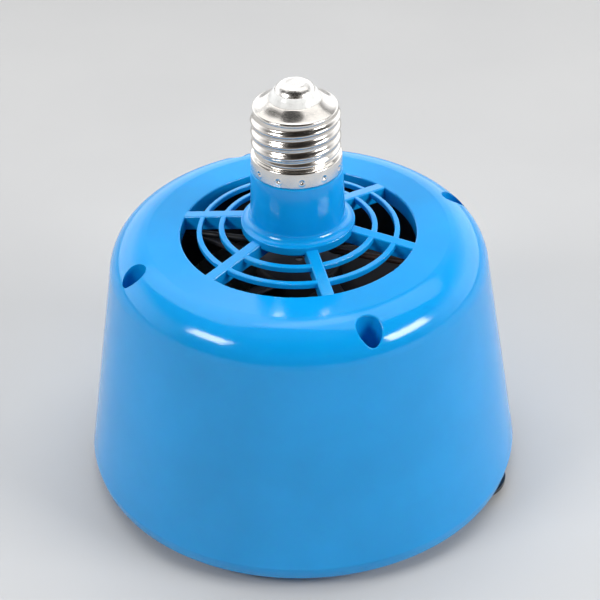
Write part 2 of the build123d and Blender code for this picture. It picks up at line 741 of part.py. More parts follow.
def cutout_cap():
    """Aluminium sensing cap with its flange."""
    cap = Pos(DUCT_R + 0.15, 0, CUTOUT_Z) * Rot(0, 90, 0) * Cylinder(8.0, 2.4, align=CENTRED_UP)
    flange = Pos(CUTOUT_FACE_R, 0, CUTOUT_Z) * Box(0.7, CUTOUT_FLANGE, 9.0, align=OUTWARDS)
    flange = fillet(flange.edges().filter_by(Axis.X), 4.0)
    for side in (-1, 1):
        flange -= Pos(DUCT_R + 2, side * CUTOUT_RIVET_Y, CUTOUT_Z) * Rot(0, 90, 0) * Cylinder(1.55, 6)
    return cutout_frame() * (cap + flange)


def cutout_body():
    """Black phenolic body with two tabs."""
    body = Pos(CUTOUT_BACK_R, 0, CUTOUT_Z) * Rot(0, 90, 0) * Cylinder(7.2, CUTOUT_BODY, align=CENTRED_UP)
    body = fillet(body.edges().filter_by(GeomType.CIRCLE).group_by(Axis.X)[-1], 0.6)
    return cutout_frame() * body


def cutout_tabs():
    """Two brass spade tabs of the cut-out."""
    tab = Pos(CUTOUT_BACK_R + CUTOUT_BODY, 0, CUTOUT_Z) * Box(6.0, 0.8, 4.8, align=OUTWARDS)
    return group([cutout_frame() * Pos(0, side * 4.2, 0) * tab for side in (-1, 1)])


def cutout_screw_place():
    return polar(CUTOUT_SCREW_R, CUTOUT_ANGLE)


def cutout_bracket():
    """Folded steel angle: foot on the base plate, upright behind the flange."""
    start = CUTOUT_BACK_R
    standing = (Align.MIN, Align.CENTER, Align.MIN)
    upright = Pos(start, 0, PARTING_Z) * Box(BRACKET_SHEET, CUTOUT_FLANGE, 20.2, align=standing)
    upright -= Pos(start - 1, 0, CUTOUT_Z) * Rot(0, 90, 0) * Cylinder(7.4, 8)
    for side in (-1, 1):
        upright -= Pos(start, side * CUTOUT_RIVET_Y, CUTOUT_Z) * Rot(0, 90, 0) * Cylinder(1.55, 6)
    foot = Pos(start, 0, PARTING_Z) * Box(10.0, 14.0, BRACKET_SHEET, align=standing)
    foot -= rod(THREAD_HOLE_R, PARTING_Z - 1, PARTING_Z + 3, (CUTOUT_SCREW_R, 0))
    return cutout_frame() * (upright + foot)


def cutout_rivets():
    """Two rivets through the flange and the bracket."""
    rivet = Rot(0, 90, 0) * Cylinder(1.5, 1.9, align=CENTRED_UP)
    head = Pos(-0.9, 0, 0) * Rot(0, 90, 0) * Cylinder(2.5, 0.9, align=CENTRED_UP)
    tail = Pos(1.9, 0, 0) * Rot(0, 90, 0) * Cylinder(2.3, 0.9, align=CENTRED_UP)
    rivet = rivet + head + tail
    places = [Pos(CUTOUT_FACE_R, side * CUTOUT_RIVET_Y, CUTOUT_Z) for side in (-1, 1)]
    return group([cutout_frame() * place * rivet for place in places])


def base_screw(at, length):
    """Low-headed screw put in from under the base plate."""
    return pan_screw(2.7, 1.2, BASE_Z, length, at, head=1.3, up=True)


def cutout_screw():
    return base_screw(cutout_screw_place(), 4.2)


def control_at():
    return polar(CONTROL_R, CONTROL_ANGLE)


def control_frame():
    """Frame of the thermostat: X outwards from the centre line, Y along the plate."""
    return Rot(0, 0, CONTROL_ANGLE) * Pos(CONTROL_R - 2.6, 0, 0)


def local_point(x, y, z=0.0):
    """Point of the thermostat's frame in the part's frame."""
    place = (control_frame() * Pos(x, y, z)).position
    return (place.X, place.Y, place.Z)


def thermostat_screw_places():
    """Base-plate screws at the two ends of the thermostat's bracket."""
    return [local_point(0, side * CONTROL_SCREW_Y)[:2] for side in (-1, 1)]


def thermostat_bracket():
    """Steel mounting plate on the base."""
    plate = block(11.0, 34.0, PARTING_Z, PARTING_Z + BRACKET_SHEET)
    plate = fillet(plate.edges().filter_by(Axis.Z), 2.0)
    plate -= rod(4.0, PARTING_Z - 1, PARTING_Z + 3, (2.6, 0))
    for side in (-1, 1):
        plate -= rod(THREAD_HOLE_R, PARTING_Z - 1, PARTING_Z + 3, (0, side * CONTROL_SCREW_Y))
    plate -= rod(STACK_HOLE_R, PARTING_Z - 1, PARTING_Z + 3, STACK_AT)
    return control_frame() * plate


def thermostat_bush():
    """Brass bush that the spindle turns in."""
    bush = rod(4.0, PARTING_Z, PARTING_Z + 8.0)
    bush += rod(4.6, PARTING_Z + BRACKET_SHEET, PARTING_Z + 2 * BRACKET_SHEET)
    bush -= rod(SPINDLE_R + RUNNING_GAP, PARTING_Z - 1, PARTING_Z + 9)
    return Pos(*control_at()) * bush


def thermostat_insulators():
    """Ceramic spacers of the blade stack."""
    base, first, second = STACK_LEVELS
    spans = ((base, first), (first + BLADE_SHEET, second), (second + BLADE_SHEET, second + STACK_CAP))
    return control_frame() * group([tube(STACK_R, STACK_HOLE_R, low, high, STACK_AT) for low, high in spans])


def contact_blade(level, reach, tab_side):
    """Flat spring strip through the stack, with a connection tab at its rear."""
    x, y = STACK_AT
    top = level + BLADE_SHEET
    strip = block(5.0, reach + 3.0, level, top, (x, y + (reach - 3.0) / 2))
    strip += rod(3.2, level, top, STACK_AT)
    tab = block(3.2, 5.0, level, top, (x + tab_side * 0.9, y - 5.0))
    return strip + tab - rod(STACK_HOLE_R, level - 1, top + 1, STACK_AT)


def thermostat_moving_blade():
    """Bimetal blade that the spindle's tip sets."""
    return control_frame() * contact_blade(STACK_LEVELS[1], BLADE_REACH, -1)


def thermostat_fixed_blade():
    return control_frame() * contact_blade(STACK_LEVELS[2], BLADE_REACH, 1)


def thermostat_contacts():
    """Silver contact buttons between the blades' free ends."""
    at = (STACK_AT[0], STACK_AT[1] + BLADE_REACH - 2.5)
    lower = rod(1.6, STACK_LEVELS[1] + BLADE_SHEET, STACK_LEVELS[1] + BLADE_SHEET + 1.1, at)
    upper = rod(1.6, STACK_LEVELS[2] - 1.1, STACK_LEVELS[2], at)
    return control_frame() * group([lower, upper])


def thermostat_rivet():
    """Hollow rivet through the ceramic stack."""
    top = STACK_LEVELS[2] + STACK_CAP
    rivet = rod(1.5, PARTING_Z + 0.1, top, STACK_AT) + rod(2.6, top, top + 0.9, STACK_AT)
    return control_frame() * rivet


def thermostat_screws():
    return group([base_screw(at, 4.2) for at in thermostat_screw_places()])


def thermostat_spindle():
    """Spindle with a narrower flat-sided end for the knob and a setting tip."""
    shaft = rod(SPINDLE_R, KNOB_LOW_Z + 1.4, PARTING_Z + 7.6)
    shaft -= block(3, 8, KNOB_LOW_Z, KNOB_TOP_Z, (SPINDLE_R + 0.7, 0))
    shaft += rod(1.4, PARTING_Z + 7.6, STACK_LEVELS[1] - 0.35)
    return Pos(*control_at()) * Rot(0, 0, CONTROL_ANGLE) * shaft


def thermostat_knob():
    """Round black knob with a raised grip bar and a pointer line."""
    disc = rod(KNOB_R, KNOB_TOP_Z - 1.9, KNOB_TOP_Z)
    disc = fillet(disc.edges().group_by(Axis.Z)[0], 0.7)
    dome = rod(KNOB_R - 2.2, KNOB_LOW_Z + 0.6, KNOB_TOP_Z - 1)
    dome = fillet(dome.edges().group_by(Axis.Z)[0], 0.8)
    grip = block(2 * KNOB_R - 4.0, 4.2, KNOB_LOW_Z, KNOB_TOP_Z - 1)
    grip = fillet(grip.edges().filter_by(Axis.Z), 1.6)
    grip = fillet(grip.edges().group_by(Axis.Z)[0], 0.6)
    knob = disc + dome + grip
    knob -= rod(SPINDLE_R, KNOB_LOW_Z + 1.4, KNOB_TOP_Z + 1)
    knob += block(3, 5, KNOB_LOW_Z + 1.4, KNOB_TOP_Z, (SPINDLE_R + 0.7, 0)) & rod(
        SPINDLE_R, KNOB_LOW_Z + 1.4, KNOB_TOP_Z)
    notch = block(5.0, 0.9, KNOB_LOW_Z - 1, KNOB_LOW_Z + 0.5, (KNOB_R - 4.2, 0))
    return Pos(*control_at()) * Rot(0, 0, CONTROL_ANGLE) * (knob - notch)


def spoke_lead_points(angle, start, end_z):
    """Route down the neck, out under a spoke and down outside the duct."""
    return [start, (start[0], start[1], 6.0), polar(7.0, angle, -8.0), polar(7.0, angle, LEAD_RUN_Z),
            polar(LEAD_DROP_R, angle, LEAD_RUN_Z - 0.9), polar(LEAD_DROP_R, angle, end_z)]


def live_lead():
    """From the centre contact to the thermostat's lower blade."""
    points = spoke_lead_points(SPOKE_ANGLE, (0, 0, CONTACT_SHANK_Z - 0.1), -80.0)
    return lead(points)


def neutral_lead():
    """From the cap's shell to the element, through the duct."""
    angle = SPOKE_ANGLE + 180
    start = (-8.6, 1.0, 15.0)
    points = spoke_lead_points(angle, start, LEAD_PASS_Z) + [polar(MICA_R - 1.5, angle, LEAD_PASS_Z)]
    return lead(points)


def link_lead_thermostat():
    """From the thermostat's upper blade round the duct to the cut-out."""
    z = LEAD_PASS_Z + 1.5
    tab = STACK_LEVELS[2] + BLADE_SHEET / 2
    points = [local_point(-0.6, -16.3, tab), local_point(-0.6, -20.5, tab - 0.2)]
    points += [polar(44.2, angle, z) for angle in (-44.0, -28.0, -12.0, 4.0, 20.0, 35.0)]
    points += [polar(50.0, 46.0, z + 2), polar(57.0, 55.0, CUTOUT_Z), polar(56.6, 61.3, CUTOUT_Z)]
    return lead(points)


def link_lead_heater():
    """From the cut-out back through the duct to the element."""
    angle = lead_pass_angles()[1]
    points = [polar(56.6, 71.7, CUTOUT_Z), polar(58.0, 77.5, CUTOUT_Z - 0.5), polar(54.0, 87.0, -88.0),
              polar(47.5, angle, LEAD_PASS_Z), polar(MICA_R - 1.5, angle, LEAD_PASS_Z)]
    return lead(points)


def motor_leads():
    """Two thin wires from the board to taps on the element."""
    wires = []
    for side in (-1, 1):
        points = [(side * 10.0, -5.6, -77.7), (side * 10.0, -5.6, -80.0),
                  (side * 11.5, -5.6, -81.9), (side * 14.0, -5.6, -81.9)]
        wires.append(lead(points, radius=0.6, largest_bend=1.5))
    return group(wires)


def nodes():
    """Every sub-part by its node name."""
    front_bush = motor_bush(MOTOR_TOP_Z - 2.5, MOTOR_TOP_Z + 1.8)
    rear_bush = motor_bush(MOTOR_LOW_Z - 2.0, MOTOR_LOW_Z + 2)
    return {
        "housing_shell": housing_shell(),
        "bottom_cover": bottom_cover(),
        "cover_screws": cover_screws(),
        "cap_shell": cap_shell(),
        "cap_insulator": cap_insulator(),
        "cap_contact": cap_contact(),
        "fan_frame": fan_frame(),
        "fan_screws": fan_screws(),
        "impeller": impeller(),
        "motor_shaft": motor_shaft(),
        "motor_can": motor_can(),
        "motor_end_cap": motor_end_cap(),
        "motor_bush_front": front_bush,
        "motor_bush_rear": rear_bush,
        "motor_magnets": motor_magnets(),
        "armature_core": armature_core(),
        "armature_windings": armature_windings(),
        "commutator": commutator(),
        "motor_brushes": motor_brushes(),
        "motor_terminals": motor_terminals(),
        "motor_screws": motor_screws(),
        "rectifier_board": rectifier_board(),
        "rectifier_diodes": rectifier_diodes(),
        "motor_capacitor": motor_capacitor(),
        "air_duct": air_duct(),
        "mica_liner": mica_liner(),
        "mica_plate_long": mica_plate_long(),
        "mica_plate_cross": mica_plate_cross(),
        "heater_coil_upper": coil_rings(COILS_UPPER, COIL_UPPER_Z),
        "heater_coil_lower": coil_rings(COILS_LOWER, COIL_LOWER_Z),
        "heater_eyelets": heater_eyelets(),
        "thermal_fuse": thermal_fuse(),
        "duct_beads": duct_beads(),
        "outlet_guard": outlet_guard(),
        "cutout_cap": cutout_cap(),
        "cutout_body": cutout_body(),
        "cutout_tabs": cutout_tabs(),
        "cutout_bracket": cutout_bracket(),
        "cutout_rivets": cutout_rivets(),
        "cutout_screw": cutout_screw(),
        "thermostat_bracket": thermostat_bracket(),
        "thermostat_bush": thermostat_bush(),
        "thermostat_insulators": thermostat_insulators(),
        "thermostat_moving_blade": thermostat_moving_blade(),
        "thermostat_fixed_blade": thermostat_fixed_blade(),
        "thermostat_contacts": thermostat_contacts(),
        "thermostat_rivet": thermostat_rivet(),
        "thermostat_screws": thermostat_screws(),
        "thermostat_spindle": thermostat_spindle(),
        "thermostat_knob": thermostat_knob(),
        "live_lead": live_lead(),
        "neutral_lead": neutral_lead(),
        "link_lead_thermostat": link_lead_thermostat(),
        "link_lead_heater": link_lead_heater(),
        "motor_leads": motor_leads(),
    }


os.makedirs("parts", exist_ok=True)
for name, shape in nodes().items():
    export_step(shape, f"parts/{name}.step")
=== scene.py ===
import json
import math

import bpy
import bmesh
from mathutils import Matrix, Vector


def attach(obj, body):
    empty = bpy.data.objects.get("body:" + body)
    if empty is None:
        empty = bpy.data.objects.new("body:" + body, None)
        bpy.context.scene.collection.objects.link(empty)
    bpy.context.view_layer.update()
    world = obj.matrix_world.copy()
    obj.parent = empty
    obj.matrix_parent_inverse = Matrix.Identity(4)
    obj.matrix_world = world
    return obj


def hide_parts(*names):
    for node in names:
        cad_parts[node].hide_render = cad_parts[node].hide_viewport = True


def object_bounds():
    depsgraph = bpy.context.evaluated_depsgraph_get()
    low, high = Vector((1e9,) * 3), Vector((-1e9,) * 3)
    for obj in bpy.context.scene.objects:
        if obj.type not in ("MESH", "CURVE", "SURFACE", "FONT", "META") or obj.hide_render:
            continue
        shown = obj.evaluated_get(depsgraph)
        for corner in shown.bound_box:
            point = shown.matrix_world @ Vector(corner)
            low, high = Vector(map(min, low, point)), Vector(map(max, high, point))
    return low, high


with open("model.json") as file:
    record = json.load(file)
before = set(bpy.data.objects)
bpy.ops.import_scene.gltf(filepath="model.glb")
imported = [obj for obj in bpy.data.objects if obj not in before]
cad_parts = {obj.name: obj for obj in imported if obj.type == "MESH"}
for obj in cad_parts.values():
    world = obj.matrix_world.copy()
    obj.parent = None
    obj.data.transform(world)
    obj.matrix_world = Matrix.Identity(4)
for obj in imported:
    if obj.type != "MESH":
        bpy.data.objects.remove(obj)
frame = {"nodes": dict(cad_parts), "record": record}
cad_box = [list(corner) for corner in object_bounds()]

MM = 0.001

# camera: aimed at a point on the centre line, from the photograph's height and distance
CAMERA_AIM_Z = -47.9 * MM
CAMERA_DISTANCE = 534.8 * MM
CAMERA_ELEVATION = math.radians(34.86)
CAMERA_ROLL = math.radians(-1.41)
CAMERA_LENS = 103.6
CAMERA_SENSOR = 36.0
CAMERA_CLIP = (0.01, 20)


# ---------------------------------------------------------------- node helpers

def new_material(name):
    """A fresh material with its node tree and its Principled shader."""
    material = bpy.data.materials.new(name)
    material.use_nodes = True
    tree = material.node_tree
    shader = next(n for n in tree.nodes if n.type == "BSDF_PRINCIPLED")
    return material, tree, shader


def node(tree, kind, **values):
    """Adds a node; each value goes to the input of that name, or else to the setting."""
    made = tree.nodes.new(kind)
    for key, value in values.items():
        if key in made.inputs:
            made.inputs[key].default_value = value
        else:
            setattr(made, key, value)
    return made


def object_coords(tree, scale=(1, 1, 1)):
    """Places in the piece's own frame, stretched by the scale."""
    coords = node(tree, "ShaderNodeTexCoord")
    mapping = node(tree, "ShaderNodeMapping")
    mapping.inputs["Scale"].default_value = scale
    tree.links.new(coords.outputs["Object"], mapping.inputs["Vector"])
    return mapping.outputs["Vector"]


def noise(tree, scale, detail, roughness=0.5, stretch=(1, 1, 1)):
    """Cloudy 0..1 value, centred on 0.5."""
    texture = node(tree, "ShaderNodeTexNoise", Scale=scale, Detail=detail, Roughness=roughness)
    tree.links.new(object_coords(tree, stretch), texture.inputs["Vector"])
    return texture.outputs["Fac"]


def ramp(tree, source, stops):
    """Turns a 0..1 value into a colour; each stop is a position and a colour."""
    made = node(tree, "ShaderNodeValToRGB")
    elements = made.color_ramp.elements
    while len(elements) < len(stops):
        elements.new(0.5)
    for element, (position, colour) in zip(elements, stops):
        element.position = position
        element.color = (*colour, 1)
    tree.links.new(source, made.inputs["Fac"])
    return made.outputs["Color"]


def spread(tree, source, low, high, start=0.3, end=0.7):
    """Maps the values from start to end onto the range from low to high."""
    made = node(tree, "ShaderNodeMapRange")
    made.inputs["From Min"].default_value = start
    made.inputs["From Max"].default_value = end
    made.inputs["To Min"].default_value = low
    made.inputs["To Max"].default_value = high
    tree.links.new(source, made.inputs["Value"])
    return made.outputs["Result"]


def bump(tree, shader, height, strength, distance):
    """Adds fine relief to the shader, on top of any relief it already has."""
    made = node(tree, "ShaderNodeBump", Strength=strength, Distance=distance)
    tree.links.new(height, made.inputs["Height"])
    earlier = shader.inputs["Normal"].links
    if earlier:
        tree.links.new(earlier[0].from_socket, made.inputs["Normal"])
    tree.links.new(made.outputs["Normal"], shader.inputs["Normal"])


def shade(colour, factor):
    """The colour made lighter or darker."""
    return tuple(min(1.0, c * factor) for c in colour)


# ------------------------------------------------------------------- materials

PLASTIC_IOR = 1.49
PLASTIC_DRIFT = 0.05
GLOW_DEPTH = 2.0 * MM
METAL_GRAIN = 0.01 * MM
MICA_RELIEF = 0.03 * MM
CERAMIC_RELIEF = 0.02 * MM


def colour_between(tree, shader, source, low_stop, high_stop):
    """Base colour that runs between two stops of the source."""
    tree.links.new(ramp(tree, source, [low_stop, high_stop]), shader.inputs["Base Color"])


def roughness_between(tree, shader, source, low, high, start=0.3, end=0.7):
    """Roughness that follows the source from low to high."""
    tree.links.new(spread(tree, source, low, high, start, end), shader.inputs["Roughness"])


def moulded_plastic(name, colour, roughness=0.2, grain=0.012, glow=0.0):
    """Injection-moulded plastic: faint colour drift, hairline marks and a slight orange peel."""
    material, tree, shader = new_material(name)
    drift = noise(tree, scale=38, detail=4, roughness=0.55)
    colour_between(tree, shader, drift,
                   (0.3, shade(colour, 1 - PLASTIC_DRIFT)), (0.7, shade(colour, 1 + PLASTIC_DRIFT)))
    smudge = noise(tree, scale=95, detail=5, roughness=0.62)
    roughness_between(tree, shader, smudge, roughness * 0.8, roughness * 1.45)
    shader.inputs["IOR"].default_value = PLASTIC_IOR
    shader.inputs["Subsurface Weight"].default_value = glow
    shader.inputs["Subsurface Scale"].default_value = GLOW_DEPTH
    orange_peel = noise(tree, scale=260, detail=2, roughness=0.4)
    bump(tree, shader, orange_peel, strength=0.10, distance=grain * MM)
    hairlines = noise(tree, scale=1900, detail=4, roughness=0.6, stretch=(1, 1, 0.16))
    bump(tree, shader, hairlines, strength=0.12, distance=grain * MM * 0.4)
    return material


def metal(name, colour, roughness=0.2, brushed=(1, 1, 1), tarnish=0.12):
    """Plated or bare metal with fine drawing lines and a little tarnish."""
    material, tree, shader = new_material(name)
    cloud = noise(tree, scale=120, detail=5, roughness=0.6)
    colour_between(tree, shader, cloud,
                   (0.3, shade(colour, 1 - tarnish)), (0.7, shade(colour, 1 + tarnish * 0.3)))
    shader.inputs["Metallic"].default_value = 1.0
    lines = noise(tree, scale=900, detail=4, roughness=0.6, stretch=brushed)
    roughness_between(tree, shader, lines, roughness * 0.75, roughness * 1.5)
    bump(tree, shader, lines, strength=0.2, distance=METAL_GRAIN)
    return material


def mica_sheet(name, colour, dark):
    """Mica sheet: silvery flakes pressed into a brown sheet."""
    material, tree, shader = new_material(name)
    flakes = node(tree, "ShaderNodeTexVoronoi", Scale=620.0)
    tree.links.new(object_coords(tree), flakes.inputs["Vector"])
    colour_between(tree, shader, flakes.outputs["Color"], (0.2, dark), (0.8, colour))
    roughness_between(tree, shader, flakes.outputs["Distance"], 0.25, 0.6, start=0, end=0.6)
    bump(tree, shader, flakes.outputs["Distance"], strength=0.25, distance=MICA_RELIEF)
    return material


def ceramic(name, colour, roughness=0.55, coat=0.0):
    """Fired ceramic or glass with small pores."""
    material, tree, shader = new_material(name)
    speck = noise(tree, scale=700, detail=5, roughness=0.7)
    colour_between(tree, shader, speck, (0.3, shade(colour, 0.88)), (0.6, colour))
    roughness_between(tree, shader, speck, roughness * 0.8, roughness * 1.2)
    shader.inputs["Coat Weight"].default_value = coat
    bump(tree, shader, speck, strength=0.15, distance=CERAMIC_RELIEF)
    return material


BLUE = (0.003, 0.322, 0.76)

MATERIALS = {
    "housing_blue": moulded_plastic("housing_blue", BLUE, 0.11, grain=0.006, glow=0.25),
    "cap_nickel": metal("cap_nickel", (0.82, 0.78, 0.73), 0.17, (1, 1, 5)),
    "contact_tin": metal("contact_tin", (0.90, 0.87, 0.83), 0.24),
    "insulator_white": ceramic("insulator_white", (0.84, 0.84, 0.82), 0.3, 0.6),
    "knob_black": moulded_plastic("knob_black", (0.012, 0.012, 0.013), 0.14),
    "fan_black": moulded_plastic("fan_black", (0.014, 0.014, 0.016), 0.42, grain=0.03),
    "motor_nylon": moulded_plastic("motor_nylon", (0.72, 0.70, 0.62), 0.45, grain=0.03),
    "screw_steel": metal("screw_steel", (0.58, 0.58, 0.60), 0.28),
    "zinc_steel": metal("zinc_steel", (0.60, 0.61, 0.63), 0.33, (1, 1, 0.2)),
    "shaft_steel": metal("shaft_steel", (0.30, 0.30, 0.31), 0.4, (1, 1, 6)),
    "guard_chrome": metal("guard_chrome", (0.72, 0.72, 0.73), 0.17),
    "bronze": metal("bronze", (0.50, 0.33, 0.17), 0.45),
    "brass": metal("brass", (0.76, 0.58, 0.26), 0.25),
    "silver": metal("silver", (0.86, 0.85, 0.82), 0.22),
    "copper": metal("copper", (0.72, 0.33, 0.16), 0.28, (1, 1, 8)),
    "lamination": metal("lamination", (0.17, 0.16, 0.16), 0.5, (1, 1, 9)),
    "carbon": moulded_plastic("carbon", (0.03, 0.03, 0.032), 0.7),
    "board_green": moulded_plastic("board_green", (0.03, 0.16, 0.06), 0.3),
    "diode_black": moulded_plastic("diode_black", (0.018, 0.018, 0.02), 0.3),
    "capacitor_yellow": moulded_plastic("capacitor_yellow", (0.68, 0.42, 0.03), 0.3),
    "mica": mica_sheet("mica", (0.66, 0.56, 0.42), (0.34, 0.26, 0.17)),
    "nichrome": metal("nichrome", (0.50, 0.46, 0.42), 0.3, tarnish=0.3),
    "fuse_body": metal("fuse_body", (0.76, 0.75, 0.72), 0.3),
    "ceramic": ceramic("ceramic", (0.82, 0.80, 0.75)),
    "cutout_aluminium": metal("cutout_aluminium", (0.76, 0.76, 0.76), 0.3),
    "phenolic": moulded_plastic("phenolic", (0.022, 0.020, 0.018), 0.4),
    "lead_brown": moulded_plastic("lead_brown", (0.045, 0.018, 0.010), 0.45),
    "lead_black": moulded_plastic("lead_black", (0.012, 0.012, 0.013), 0.45),
}


def dress_cad_nodes():
    """Gives every CAD node its finished material."""
    for sub in frame["record"]["subparts"]:
        thing = frame["nodes"][sub["node"]]
        thing.data.materials.clear()
        thing.data.materials.append(MATERIALS[sub["material_slot"]])


# ------------------------------------------------------------------- cap shell

# radii and heights in millimetres round the centre line
SKIRT_R = 13.45
SKIRT_TOP = 4.9
SKIRT_EDGE = 0.3
SKIRT_EDGE_DROP = 0.12
THREAD_ROOT = 12.15
THREAD_CREST = 13.2
THREAD_PITCH = 3.629
THREAD_PHASE = 0.25
THREAD_LOW = 5.9
THREAD_HIGH = 19.4
DOME_HOLE_R = 7.7
DOME_TOP_Z = 23.0
DOME_CORNERS = ((12.2, 19.45), (12.5, 19.75), (12.45, 20.5),
                (11.3, 20.85), (8.1, 22.98), (7.7, 22.98))
SHELL_SHEET = 0.35
SHELL_BORE_R = 11.7
SHELL_AROUND = 384
SKIRT_STEP = 0.2
SKIRT_STEPS = 23
THREAD_STEPS = 84

# the marks punched round the skirt: a dent with a raised lip
STAKE_ANGLE = math.radians(6)
STAKE_TURN = math.radians(30)
STAKE_Z = 2.3
STAKE_SQUASH = 0.85
DENT_DEPTH = 0.5
DENT_R = 0.38
LIP_HEIGHT = 0.05
LIP_R = 0.75
LIP_WIDTH = 0.25


def smoothstep(low, high, value):
    """0 below low, 1 above high and an even S between them."""
    t = min(1.0, max(0.0, (value - low) / (high - low)))
    return t * t * (3 - 2 * t)


def ring_mesh(name, columns):
    """Closed mesh whose columns run round the centre line and whose rows run round the section."""
    verts = [point for column in columns for point in column]
    faces = []
    count = len(columns)
    rows = len(columns[0])
    for i in range(count):
        j = (i + 1) % count
        for k in range(rows):
            m = (k + 1) % rows
            faces.append((i * rows + k, j * rows + k, j * rows + m, i * rows + m))
    mesh = bpy.data.meshes.new(name)
    mesh.from_pydata([Vector(v) * MM for v in verts], [], faces)
    mesh.validate()
    thing = bpy.data.objects.new(name, mesh)
    bpy.context.collection.objects.link(thing)
    fix = bmesh.new()
    fix.from_mesh(mesh)
    bmesh.ops.recalc_face_normals(fix, faces=fix.faces)
    fix.to_mesh(mesh)
    fix.free()
    for polygon in mesh.polygons:
        polygon.use_smooth = True
    return thing


def thread_radius(z, angle):
    """Rolled round thread on the shell, fading out at both ends."""
    wave = 0.5 + 0.5 * math.cos(2 * math.pi * (z + THREAD_PHASE) / THREAD_PITCH - angle)
    envelope = smoothstep(THREAD_LOW - 0.2, THREAD_LOW + 1.7, z)
    envelope *= 1 - smoothstep(THREAD_HIGH - 1.9, THREAD_HIGH, z)
    return THREAD_ROOT + (THREAD_CREST - THREAD_ROOT) * wave * envelope


def shell_heights():
    """Heights of the rows up the skirt and the thread."""
    steps = [0.0, 0.4 * SKIRT_EDGE, SKIRT_EDGE]
    steps += [SKIRT_EDGE + SKIRT_STEP * i for i in range(1, SKIRT_STEPS + 1)]
    start = steps[-1]
    rise = THREAD_HIGH - start
    steps += [start + rise * i / THREAD_STEPS for i in range(1, THREAD_STEPS + 1)]
    return steps


def shell_radius(z, angle):
    """Outer radius of the skirt, with its punched marks, and of the thread above it."""
    if z > SKIRT_TOP:
        skirt_part = 1 - smoothstep(SKIRT_TOP, THREAD_LOW, z)
        return thread_radius(z, angle) + (SKIRT_R - THREAD_ROOT) * skirt_part
    radius = SKIRT_R - SKIRT_EDGE_DROP * (1 - smoothstep(0, SKIRT_EDGE, z))
    nearest = round((angle - STAKE_ANGLE) / STAKE_TURN)
    across = (angle - STAKE_ANGLE - nearest * STAKE_TURN) * SKIRT_R
    distance = math.hypot(across, (z - STAKE_Z) * STAKE_SQUASH)
    dent = DENT_DEPTH * math.exp(-((distance / DENT_R) ** 2))
    lip = LIP_HEIGHT * math.exp(-(((distance - LIP_R) / LIP_WIDTH) ** 2))
    return radius - dent + lip


def rounded(corners, passes=3):
    """The open outline with its corners cut and cut again, until it runs smoothly."""
    for _ in range(passes):
        cut = [corners[0]]
        for (x0, y0), (x1, y1) in zip(corners, corners[1:]):
            cut.append((0.75 * x0 + 0.25 * x1, 0.75 * y0 + 0.25 * y1))
            cut.append((0.25 * x0 + 0.75 * x1, 0.25 * y0 + 0.75 * y1))
        corners = cut + [corners[-1]]
    return corners


def shell_inside(dome):
    """The inner outline, from the dome's hole down to the skirt's edge."""
    under_dome = [(r - SHELL_SHEET, z - SHELL_SHEET) for r, z in reversed(dome[6:-8])]
    return [
        (DOME_HOLE_R, DOME_TOP_Z - SHELL_SHEET),
        *under_dome,
        (SHELL_BORE_R, THREAD_HIGH - 0.4),
        (SHELL_BORE_R, THREAD_LOW + 0.3),
        (SKIRT_R - 2 * SHELL_SHEET, SKIRT_TOP - 0.2),
        (SKIRT_R - SHELL_SHEET, 0.05),
    ]


def build_cap_shell():
    """The cap's shell, with a real rolled thread, twelve stake marks and the domed shoulder."""
    columns = []
    heights = shell_heights()
    dome = rounded(DOME_CORNERS)
    inside = shell_inside(dome)
    for i in range(SHELL_AROUND):
        angle = 2 * math.pi * i / SHELL_AROUND
        profile = [(shell_radius(z, angle), z) for z in heights] + dome + inside
        columns.append([(r * math.cos(angle), r * math.sin(angle), z) for r, z in profile])
    shell = ring_mesh("cap_shell_rolled", columns)
    shell.data.materials.append(MATERIALS["cap_nickel"])
    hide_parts("cap_shell")
    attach(shell, "body")


# ---------------------------------------------------------------- heater coils

MICA_ANGLE = math.radians(28)
COIL_WIRE = 0.25
COIL_R = 1.72
COIL_PITCH = 1.25
COIL_PATH_STEP = 0.25
COIL_STEPS_PER_TURN = 9
COIL_START = 0.15
COIL_LAST_GAP = 0.35
COIL_CROSSOVER = (2 * math.pi - 1.2, 2 * math.pi - 0.3)

# name, radii of its rounds, height
COILS = (
    ("heater_coil_lower", (12.0, 20.0, 28.0, 35.2), -94.8),
    ("heater_coil_upper", (16.0, 24.0, 32.0), -85.2),
)


def coil_path(radii):
    """Centre line that goes once round each radius and steps over to the next between two boards."""
    points = []
    for index, radius in enumerate(radii):
        last = index + 1 == len(radii)
        after = radius if last else radii[index + 1]
        turn = 2 * math.pi - COIL_LAST_GAP if last else 2 * math.pi
        steps = int(turn * radius / COIL_PATH_STEP)
        for i in range(steps):
            angle = turn * i / steps
            r = radius + smoothstep(*COIL_CROSSOVER, angle) * (after - radius)
            here = MICA_ANGLE + COIL_START + angle
            points.append(Vector((r * math.cos(here), r * math.sin(here), 0)))
    return points


def wound_points(path, z):
    """Points of a wire wound round the path at an even pitch."""
    points = []
    length = 0.0
    for before, point, after in zip(path, path[1:], path[2:]):
        forward = (after - before).normalized()
        side = Vector((forward.y, -forward.x, 0))
        length += (point - before).length
        turn = 2 * math.pi * length / COIL_PITCH
        offset = side * math.cos(turn) + Vector((0, 0, 1)) * math.sin(turn)
        points.append(point + offset * COIL_R + Vector((0, 0, z)))
    return points


def resample(path, step):
    """The same line with evenly spaced points."""
    out = [path[0]]
    left = step
    for a, b in zip(path, path[1:]):
        run = (b - a).length
        while run >= left:
            a = a + (b - a).normalized() * left
            out.append(a.copy())
            run = (b - a).length
            left = step
        left -= run
    return out


